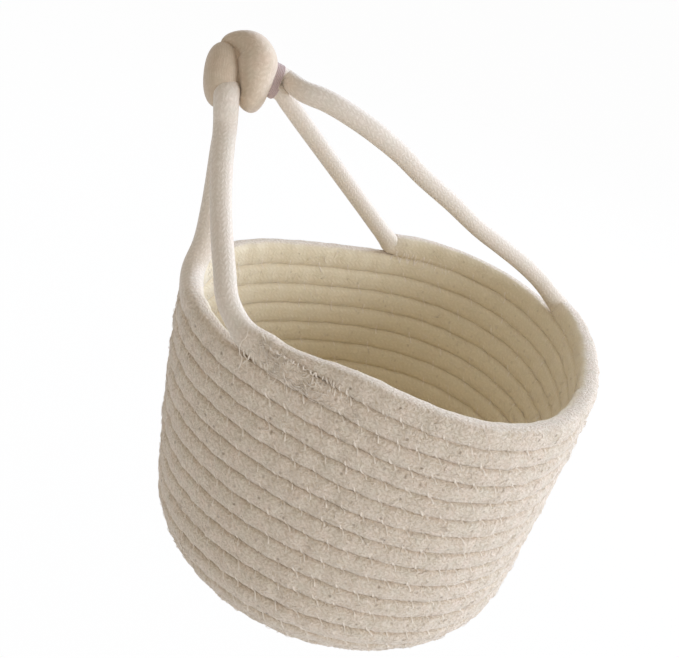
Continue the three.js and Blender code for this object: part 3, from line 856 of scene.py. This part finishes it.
def seen_share(tree):
    """1 for what the camera sees, directly or in gloss or glass, and 0 for light that is only cast."""
    path = add_node(tree, "ShaderNodeLightPath")
    seen = path.outputs["Is Camera Ray"]
    for ray in ("Is Glossy Ray", "Is Transmission Ray"):
        seen = add_node(tree, "ShaderNodeMath", (seen, path.outputs[ray]), operation="MAXIMUM")
    return seen


def pale_paper_material():
    """Matt white paper for floor and backdrop: plain white to the eye, with the object's shadow."""
    material, tree = empty_material("matt_white_paper")
    glow_share = 0.97
    share = add_node(tree, "ShaderNodeMath", (seen_share(tree), glow_share), operation="MULTIPLY")
    paper = add_node(tree, "ShaderNodeBsdfDiffuse", {"Color": (*linear("#F4F2EF"), 1), "Roughness": 0.9})
    glow = add_node(tree, "ShaderNodeEmission", {"Color": (1, 1, 1, 1), "Strength": 1})
    mix = add_node(tree, "ShaderNodeMixShader", (share, paper, glow))
    add_node(tree, "ShaderNodeOutputMaterial", {"Surface": mix})
    return material


# The rope's three runs: base, wall and rear left strand; rear right strand, middle rim run and
# front left strand; front right strand and top rim run

def neck_point(along_neck, side):
    """A point of the neck: how far along it from the knot, and how far up from between its strands."""
    return KNOT_CENTRE + NECK_DIRECTION * along_neck + NECK_UP * (NECK_RAISE + side)


def neck_line(side):
    """The way that a strand takes through the neck: the lower one for -1 and the upper one for 1."""
    return [neck_point(place, side * NECK_STRAND_OFFSET) for place in NECK_PLACES]


def knot_point(place):
    """A point given as distances across, up and to the front of the knot's centre."""
    place = np.asarray(place)
    axes = np.stack((KNOT_ACROSS, KNOT_UP, KNOT_FRONT))
    return KNOT_CENTRE + place @ axes


def rope_runs(settings):
    """The three runs, in the order in which the rope makes them."""
    lower_neck, upper_neck = neck_line(-1), neck_line(1)
    neck_end = lower_neck[-1]
    rim_point = winding_frame(np.array([MIDDLE_START]))[0][0]
    straight = [neck_end + (rim_point - neck_end) * share for share in REAR_RIGHT_SHARES]
    coil = rope_run((), COIL_START, COIL_END, np.vstack((REAR_LEFT_ROUTE, knot_point(REAR_ENTRY))),
                    (), REAR_LEFT_HALVES, settings, COIL_SEED)
    middle = rope_run(np.vstack((lower_neck, straight)), MIDDLE_START, MIDDLE_END,
                      np.vstack((FRONT_LEFT_ROUTE, knot_point(FRONT_ENTRY))),
                      REAR_RIGHT_HALVES, FRONT_LEFT_HALVES, settings, MIDDLE_SEED)
    top = rope_run(np.vstack((upper_neck, FRONT_RIGHT_ROUTE)), TOP_START, TOP_END, (),
                   FRONT_RIGHT_HALVES, (), settings, TOP_SEED)
    return coil, middle, top


def add_run_part(name, run, first, last, scene, body, node, round_ends=(False, False)):
    """A stretch of a run, from the first to the last station. It goes on for one ring under each
    neighbour, a hair thinner, so that the shading doesn't break at the joint."""
    hair_thinner = 0.995
    stitches = stitch_azimuths(scene.basket_stitches)
    rings, tucked = rope_rings(run, scene.basket_rope, stitches, scene.basket_stitches)
    start, end = max(first - 1, 0), min(last + 1, len(rings) - 1)
    for ring in {start, end} - {first, last}:
        rings[ring] = run.line[ring] + (rings[ring] - run.line[ring]) * hair_thinner
    keep = slice(start, end + 1)
    cotton = braided_cotton_material(scene.basket_rope)
    return add_tube(name, rings[keep], run.length[keep], tucked[keep], cotton, body, (node,),
                    round_ends)


def base_end_station(coil):
    """The station at which the flat base turns up into the wall."""
    away = np.abs(coil.azimuth - BASE_END)
    return int(np.argmin(np.where(np.isnan(away), np.inf, away)))


class BASKET_OT_base(bpy.types.Operator):
    """Adds the flat spiral of the base."""

    bl_idname = "basket.add_base"
    bl_label = "Base"

    def execute(self, context):
        scene = context.scene
        coil = rope_runs(scene.basket_rope)[0]
        add_run_part("base_rope", coil, 0, base_end_station(coil), scene, "basket", "base_coil",
                     (True, False))
        return {"FINISHED"}


class BASKET_OT_wall(bpy.types.Operator):
    """Adds the rope wound up the wall."""

    bl_idname = "basket.add_wall"
    bl_label = "Wall"

    def execute(self, context):
        scene = context.scene
        coil = rope_runs(scene.basket_rope)[0]
        add_run_part("wall_rope", coil, base_end_station(coil), coil.last, scene, "basket", "wall_coil")
        return {"FINISHED"}


class BASKET_OT_rim(bpy.types.Operator):
    """Adds the two runs of rope on the rim."""

    bl_idname = "basket.add_rim"
    bl_label = "Rim"

    def execute(self, context):
        scene = context.scene
        _, middle, top = rope_runs(scene.basket_rope)
        add_run_part("middle_rim_rope", middle, middle.first, middle.last, scene, "basket",
                     "middle_rim_run")
        add_run_part("top_rim_rope", top, top.first, top.last, scene, "basket", "top_rim_run",
                     (False, True))
        return {"FINISHED"}


class BASKET_OT_strands(bpy.types.Operator):
    """Adds the four taut strands between the rim and the knot."""

    bl_idname = "basket.add_strands"
    bl_label = "Strands"

    def execute(self, context):
        coil, middle, top = rope_runs(context.scene.basket_rope)
        strands = (
            ("rear_left_strand", coil, coil.last, len(coil.line) - 1, "strand_rear_left"),
            ("rear_right_strand", middle, 0, middle.first, "strand_rear_right"),
            ("front_left_strand", middle, middle.last, len(middle.line) - 1, "strand_front_left"),
            ("front_right_strand", top, 0, top.first, "strand_front_right"),
        )
        for name, run, first, last, node in strands:
            piece = add_run_part(name, run, first, last, context.scene, None, node)
            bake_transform(piece)
        return {"FINISHED"}


def wrap_rings(centre, half_width, half_height, half_depth, tilt, swing):
    """A fat wrap of rope pulled tight: rings round an axis that runs across the knot. The tilt turns
    the axis up and the swing turns it to the front, both in degrees."""
    steps, sides = 48, 72
    end_share = 0.998
    fullness = 2.35
    place = np.sin(np.linspace(-end_share, end_share, steps) * math.pi / 2)
    size = (1 - np.abs(place) ** fullness) ** (1 / fullness)
    angle = ring_angles(sides)
    turn, lean = math.radians(tilt), math.radians(swing)
    axis = np.array((math.cos(turn) * math.cos(lean), math.sin(turn) * math.cos(lean), math.sin(lean)))
    up = np.array((-math.sin(turn), math.cos(turn), 0))
    front = np.cross(axis, up)
    rings = (np.asarray(centre) * MM + (place * half_width * MM)[:, None, None] * axis
             + (size[:, None] * np.cos(angle) * half_height * MM)[..., None] * up
             + (size[:, None] * np.sin(angle) * half_depth * MM)[..., None] * front)
    return knot_point(rings)


def arch_rings():
    """The wrap that arches over the knot and down its right side, thick in the middle and thin at
    both ends, as rings along its line."""
    ring_step = 0.4 * MM
    smoothed_over = 9
    sides = 48
    fullness = 2.2
    end_reach = 3 * MM
    end_share = 0.002
    before, after = 2 * ARCH_LINE[0] - ARCH_LINE[1], 2 * ARCH_LINE[-1] - ARCH_LINE[-2]
    line = curve_through(np.vstack((before, ARCH_LINE, after)), ring_step)
    length = run_length(line)
    stations = np.arange(len(ARCH_HALVES))
    share = np.linspace(0, stations[-1], len(line))
    weights = np.ones(smoothed_over) / smoothed_over
    half, depth = (
        np.convolve(np.pad(np.interp(share, stations, values), smoothed_over // 2, "edge"), weights, "valid")
        for values in (ARCH_HALVES, ARCH_DEPTHS))
    rounding = np.clip(np.minimum(length, length[-1] - length) / end_reach, end_share, 1)
    rounding = (1 - (1 - rounding) ** fullness) ** (1 / fullness)
    front = np.array((0, 0, 1))
    aside = unit(np.cross(front, unit(np.gradient(line, axis=0))))
    across, forward = section_shape(ring_angles(sides), fullness)
    rings = (line[:, None] + aside[:, None] * ((half * rounding)[:, None] * across)[..., None]
             + front * ((depth * rounding)[:, None] * forward)[..., None])
    return knot_point(rings), length


class BASKET_OT_knot(bpy.types.Operator):
    """Adds the knot: a wrap that arches over it, one beside that and the core that both lie on."""

    bl_idname = "basket.add_knot"
    bl_label = "Knot"

    def execute(self, context):
        cotton = braided_cotton_material(context.scene.basket_rope)
        pieces = [("knot_arch", *arch_rings(), ())]
        wraps = (("knot_left_wrap", LEFT_WRAP, ("handle_knot",)), ("knot_core", CORE_WRAP, ()))
        for name, wrap, nodes in wraps:
            rings = wrap_rings(*wrap)
            braid_length = 4 * wrap[2] * MM
            pieces.append((name, rings, np.linspace(0, braid_length, len(rings)), nodes))
        for name, rings, length, nodes in pieces:
            state = np.full(rings.shape[:2], KNOT_STATE)
            add_tube(name, rings, length, state, cotton, "handle", nodes)
        return {"FINISHED"}


class BASKET_OT_binding(bpy.types.Operator):
    """Adds the thread wound round the two strands of the neck."""

    bl_idname = "basket.add_binding"
    bl_label = "Binding"

    def execute(self, context):
        settings = context.scene.basket_stitches
        thread = settings.binding_thickness
        loops, steps, sides = 6, 60, 8
        reach = NECK_STRAND_HALF + thread / 2

        # Half a loop goes straight past both strands and then round one of them
        straight = 2 * NECK_STRAND_OFFSET
        half_loop = straight + math.pi * reach
        lines = []
        for share in np.arange(loops * steps + 1) / steps:
            half, rest = divmod((share % 1) * 2 * half_loop, half_loop)
            flip = 1 if half == 0 else -1
            if rest < straight:
                across, up = reach * flip, (rest - NECK_STRAND_OFFSET) * flip
            else:
                turn_angle = (rest - straight) / reach
                across = reach * math.cos(turn_angle) * flip
                up = (NECK_STRAND_OFFSET + reach * math.sin(turn_angle)) * flip
            along = THREAD_PLACE + (share - loops / 2) * thread
            lines.append(neck_point(along, up) + NECK_ACROSS * across)
        line = np.array(lines)
        tangent = unit(np.gradient(line, axis=0))
        outward = unit(np.cross(tangent, NECK_DIRECTION))
        upward = np.cross(tangent, outward)
        angle = ring_angles(sides)
        rings = (line[:, None] + outward[:, None] * (thread / 2 * np.cos(angle))[None, :, None]
                 + upward[:, None] * (thread / 2 * np.sin(angle))[None, :, None])
        twine = twisted_thread_material("waxed_cotton_twine", settings.binding_colour, TWINE_SHADE)
        add_tube("neck_twine", rings, run_length(line), np.zeros(rings.shape[:2]), twine, "handle",
                 ("neck_binding",))
        return {"FINISHED"}


def thin_tubes(lines, halves, sides):
    """Points and faces of many thin closed tubes, one along each of the lines."""
    count, rings_each = lines.shape[:2]
    tangent = unit(np.gradient(lines, axis=1))
    aside = unit(np.cross(tangent, lines - np.array((0, 0, WALL_HEIGHT / 2))))
    normal = np.cross(aside, tangent)
    angle = ring_angles(sides)
    half = halves[:, None, None, None]
    points = (lines[:, :, None] + aside[:, :, None] * np.cos(angle)[:, None] * half
              + normal[:, :, None] * np.sin(angle)[:, None] * half)
    one = grid_faces(rings_each, sides).tolist() + end_faces(rings_each, sides)
    size = rings_each * sides
    faces = [[size * i + v for v in face] for i in range(count) for face in one]
    return points.reshape(-1, 3), faces


def stitch_lines(azimuths, lean, reach, inside, squareness, random):
    """Lines of stitches from the upper turn over the groove to the lower turn. The lean is how far
    each moves along the groove and the reach how far down the lower turn it comes, from 0 to 1."""
    count = len(azimuths)
    upper_angles = np.array((-14, -30, -45, -58))
    lower_angles = np.array((58, 45, 32, 20))
    groove_angle = 62
    jitter = 2.5
    lift = np.array((-0.6, -0.08, 0, 0.12, 0.12, 0, -0.08, -0.6)) * MM
    share = np.linspace(-0.5, 0.5, len(lift))
    turns_up = np.repeat((1, 0), (len(upper_angles), len(lower_angles)))
    lean_angle = np.degrees(lean / winding_radius(azimuths))
    place = azimuths[:, None] + lean_angle[:, None] * share - TURN * turns_up
    upper = np.broadcast_to(upper_angles, (count, len(upper_angles)))
    lower = groove_angle - (groove_angle - lower_angles) * reach[:, None]
    angles = np.hstack((upper, lower)) + random.normal(0, jitter, (count, 1))
    if inside:
        angles = 180 - angles
    return rope_surface(place, angles, np.broadcast_to(lift, place.shape), squareness)


class BASKET_OT_stitches(bpy.types.Operator):
    """Adds the stitches that sew each turn of rope to the next, close together at three joints."""

    bl_idname = "basket.add_stitches"
    bl_label = "Stitches"

    def execute(self, context):
        settings = context.scene.basket_stitches
        squareness = context.scene.basket_rope.fullness
        random = np.random.default_rng(STITCH_SEED)
        sides = 6
        outer_leans, inner_leans = (0.5, 1.3), (0.2, 1)
        reaches = (0.6, 1.05)
        thicknesses = (0.8, 1.2)
        rows = stitch_azimuths(settings)
        inner_rows = rows[::2]
        groups = [
            (rows, settings.lean * random.uniform(*outer_leans, len(rows)), False),
            (inner_rows, -settings.lean * random.uniform(*inner_leans, len(inner_rows)), True),
        ]
        for joint, inside in ((TAIL_JOINT, False), (LEAVING_JOINT, False), (ARRIVING_JOINT, True)):
            azimuths = np.arange(*joint) + TURN
            groups.append((azimuths, JOINT_LEAN * random.uniform(-1, 1, len(azimuths)), inside))
        lines = []
        for azimuths, lean, inside in groups:
            reach = random.uniform(*reaches, len(azimuths))
            lines.append(stitch_lines(azimuths, lean, reach, inside, squareness, random))
        lines = np.concatenate(lines)
        halves = settings.thickness / 2 * random.uniform(*thicknesses, len(lines))
        points, faces = thin_tubes(lines, halves, sides)
        thread = twisted_thread_material("cotton_sewing_thread", settings.thread_colour, SEWING_THREAD_SHADE)
        add_mesh("sewing_stitches", points, faces, thread, "basket")
        return {"FINISHED"}


def fibre_lines(fibre_count, squareness, random):
    """Lines of the fibres on the wall, and which of them belong to the tangle."""
    steps = 6
    inside_share = 0.25
    widest_angle = 60
    run_spread = 1.6 * MM
    climb_spread = 22
    curl_along = 1 * MM
    curl_round = 14
    foot_lift = 0.02
    least_lift, most_lift = 0.05, 0.4
    end_settling = 0.85
    share = np.linspace(0, 1, steps)
    start = random.uniform(TOP_END + NAP_TAIL_CLEARANCE, BASE_END, fibre_count)
    start = start[in_winding(start - NAP_CLEARANCE) & in_winding(start + NAP_CLEARANCE)]
    nap_count = len(start)
    start = np.concatenate((start, random.uniform(*TANGLE_SPAN, TANGLE_COUNT)))
    count = len(start)
    tangled = np.arange(count) >= nap_count
    inside = (random.uniform(size=count) < inside_share) & ~tangled
    angle = random.uniform(-widest_angle, widest_angle, count) + 180 * inside
    radius = winding_radius(start)
    run = np.degrees(random.normal(0, run_spread, count) * np.where(tangled, 2, 1) / radius)
    climb = random.normal(0, climb_spread, count)
    curl = random.uniform(-1, 1, (2, count, 1)) * np.sin(math.pi * share)
    place = start[:, None] + run[:, None] * share + curl[0] * np.degrees(curl_along / radius)[:, None]
    angles = angle[:, None] + climb[:, None] * share + curl[1] * curl_round
    lift = random.uniform(least_lift, most_lift, (count, 1)) * np.sin(math.pi * share * end_settling)
    lift = (foot_lift + lift) * MM
    return rope_surface(place, angles, lift, squareness), tangled


def thread_end_line(squareness):
    """The end of the sewing thread, which hangs over the groove below the front left joint."""
    hangs_at = 195.3 + TURN
    turns_down = np.array((0, 0, 0, 0, 0, 1, 1, 1))
    along = np.array((0, 0.5, -0.4, -0.8, -0.3, 0.4, 0.9, 0.6))
    angles = np.array((40, 20, 0, -25, -45, 50, 25, 5))
    lift = np.array((-0.4, 0.3, 0.5, 0.5, 0.6, 0.7, 0.6, 0.5)) * MM
    return rope_surface(hangs_at + turns_down * TURN + along, angles, lift, squareness)


class BASKET_OT_nap(bpy.types.Operator):
    """Adds the loose ends of fibre that stand a little off the cotton, and one loose thread end."""

    bl_idname = "basket.add_nap"
    bl_label = "Nap"

    def execute(self, context):
        settings = context.scene.basket_stitches
        squareness = context.scene.basket_rope.fullness
        random = np.random.default_rng(NAP_SEED)
        fibre_sides, thread_sides = 3, 6
        thinnest, thickest = 0.06, 0.12
        tangle_thickening = 1.7
        thread_half = 0.2 * MM
        lines, tangled = fibre_lines(settings.fibre_count, squareness, random)
        halves = random.uniform(thinnest, thickest, len(lines)) * np.where(tangled, tangle_thickening, 1) * MM
        points, faces = thin_tubes(lines, halves, fibre_sides)
        thread_line = thread_end_line(squareness)[None]
        thread_points, thread_faces = thin_tubes(thread_line, np.array((thread_half,)), thread_sides)
        faces += [[v + len(points) for v in face] for face in thread_faces]
        thread = twisted_thread_material("cotton_sewing_thread", settings.thread_colour, SEWING_THREAD_SHADE)
        add_mesh("loose_fibres", np.vstack((points, thread_points)), faces, thread, "basket")
        return {"FINISHED"}


class BASKET_OT_stage(bpy.types.Operator):
    """Adds the floor, the lamps, the pale surroundings and the camera."""

    bl_idname = "basket.add_stage"
    bl_label = "Stage"

    def execute(self, context):
        scene = context.scene
        floor_drop = 0.3
        floor_half = 6
        corners = ((-1, -1), (1, -1), (1, 1), (-1, 1))
        mesh = bpy.data.meshes.new("floor")
        mesh.from_pydata([(x * floor_half, y * floor_half, -floor_drop) for x, y in corners], [],
                         [(0, 1, 2, 3)])
        floor = bpy.data.objects.new("floor", mesh)
        mesh.materials.append(pale_paper_material())
        scene.collection.objects.link(floor)

        # Each lamp's name, place from the basket's middle, size, power and colour
        middle = Vector((0, 0, 0.08))
        lamps = (
            ("window_lamp", (1.06, 0.56, 0.56), 0.7, 15.5, "#D6E5FF"),
            ("right_lamp", (1.35, -0.3, 0.45), 0.8, 10, "#DAE7FF"),
            ("side_lamp", (0.77, -1.3, 0.3), 0.9, 11.5, "#E6EEFF"),
        )
        for name, place, size, power, colour in lamps:
            lamp = bpy.data.lights.new(name, "AREA")
            lamp.shape = "DISK"
            lamp.size = size
            lamp.energy = power
            lamp.color = linear(colour)
            holder = bpy.data.objects.new(name, lamp)
            holder.location = middle + Vector(place)
            holder.rotation_euler = (middle - holder.location).to_track_quat("-Z", "Y").to_euler()
            scene.collection.objects.link(holder)

        # The surroundings cast a warm, dim light and are themselves seen as white
        cast_strength = 0.5
        world = bpy.data.worlds.new("studio")
        world.use_nodes = True
        tree = world.node_tree
        tree.nodes.clear()
        seen = seen_share(tree)
        strength = add_node(tree, "ShaderNodeMapRange", {"Value": seen, "To Min": cast_strength, "To Max": 1})
        tint = add_node(tree, "ShaderNodeMix", {
            "Factor": seen, "A": (*linear("#FFFAF5"), 1), "B": (1, 1, 1, 1)}, data_type="RGBA")
        sky = add_node(tree, "ShaderNodeBackground", {"Color": tint.outputs["Result"], "Strength": strength})
        add_node(tree, "ShaderNodeOutputWorld", {"Surface": sky})
        scene.world = world

        camera = bpy.data.cameras.new("camera")
        camera.sensor_fit = "HORIZONTAL"
        camera.sensor_width = SENSOR_WIDTH
        camera.lens = CAMERA_FOCUS_PIXELS * SENSOR_WIDTH / IMAGE_WIDTH
        camera.clip_start = 10 * MM
        holder = bpy.data.objects.new("camera", camera)
        right = Vector(CAMERA_RIGHT).normalized()
        back = right.cross(Vector(CAMERA_UP)).normalized()
        up = back.cross(right)
        facing = Matrix((right, up, back)).transposed().to_4x4()
        holder.matrix_world = Matrix.Translation(CAMERA_PLACE) @ facing
        scene.collection.objects.link(holder)
        scene.camera = holder
        scene.view_settings.view_transform = "Standard"
        return {"FINISHED"}


OPERATORS = (BASKET_OT_stage, BASKET_OT_base, BASKET_OT_wall, BASKET_OT_rim, BASKET_OT_strands,
             BASKET_OT_knot, BASKET_OT_binding, BASKET_OT_stitches, BASKET_OT_nap)


class BASKET_PT_panel(bpy.types.Panel):
    """Lists the basket's settings and pieces in the 3D view's sidebar."""

    bl_idname = "BASKET_PT_panel"
    bl_label = "Rope basket"
    bl_space_type = "VIEW_3D"
    bl_region_type = "UI"
    bl_category = "Rope basket"

    def draw(self, context):
        for group in (context.scene.basket_rope, context.scene.basket_stitches):
            for name in group.__annotations__:
                self.layout.prop(group, name)
        for operator in OPERATORS:
            self.layout.operator(operator.bl_idname)


CLASSES = (RopeSettings, StitchSettings, *OPERATORS, BASKET_PT_panel)


def register():
    for cls in CLASSES:
        bpy.utils.register_class(cls)
    bpy.types.Scene.basket_rope = bpy.props.PointerProperty(type=RopeSettings)
    bpy.types.Scene.basket_stitches = bpy.props.PointerProperty(type=StitchSettings)


def unregister():
    del bpy.types.Scene.basket_stitches
    del bpy.types.Scene.basket_rope
    for cls in reversed(CLASSES):
        bpy.utils.unregister_class(cls)


def main():
    register()
    bpy.ops.basket.add_stage()
    bpy.ops.basket.add_base()
    bpy.ops.basket.add_wall()
    bpy.ops.basket.add_rim()
    bpy.ops.basket.add_strands()
    bpy.ops.basket.add_knot()
    bpy.ops.basket.add_binding()
    bpy.ops.basket.add_stitches()
    bpy.ops.basket.add_nap()


if __name__ == "__main__":
    main()
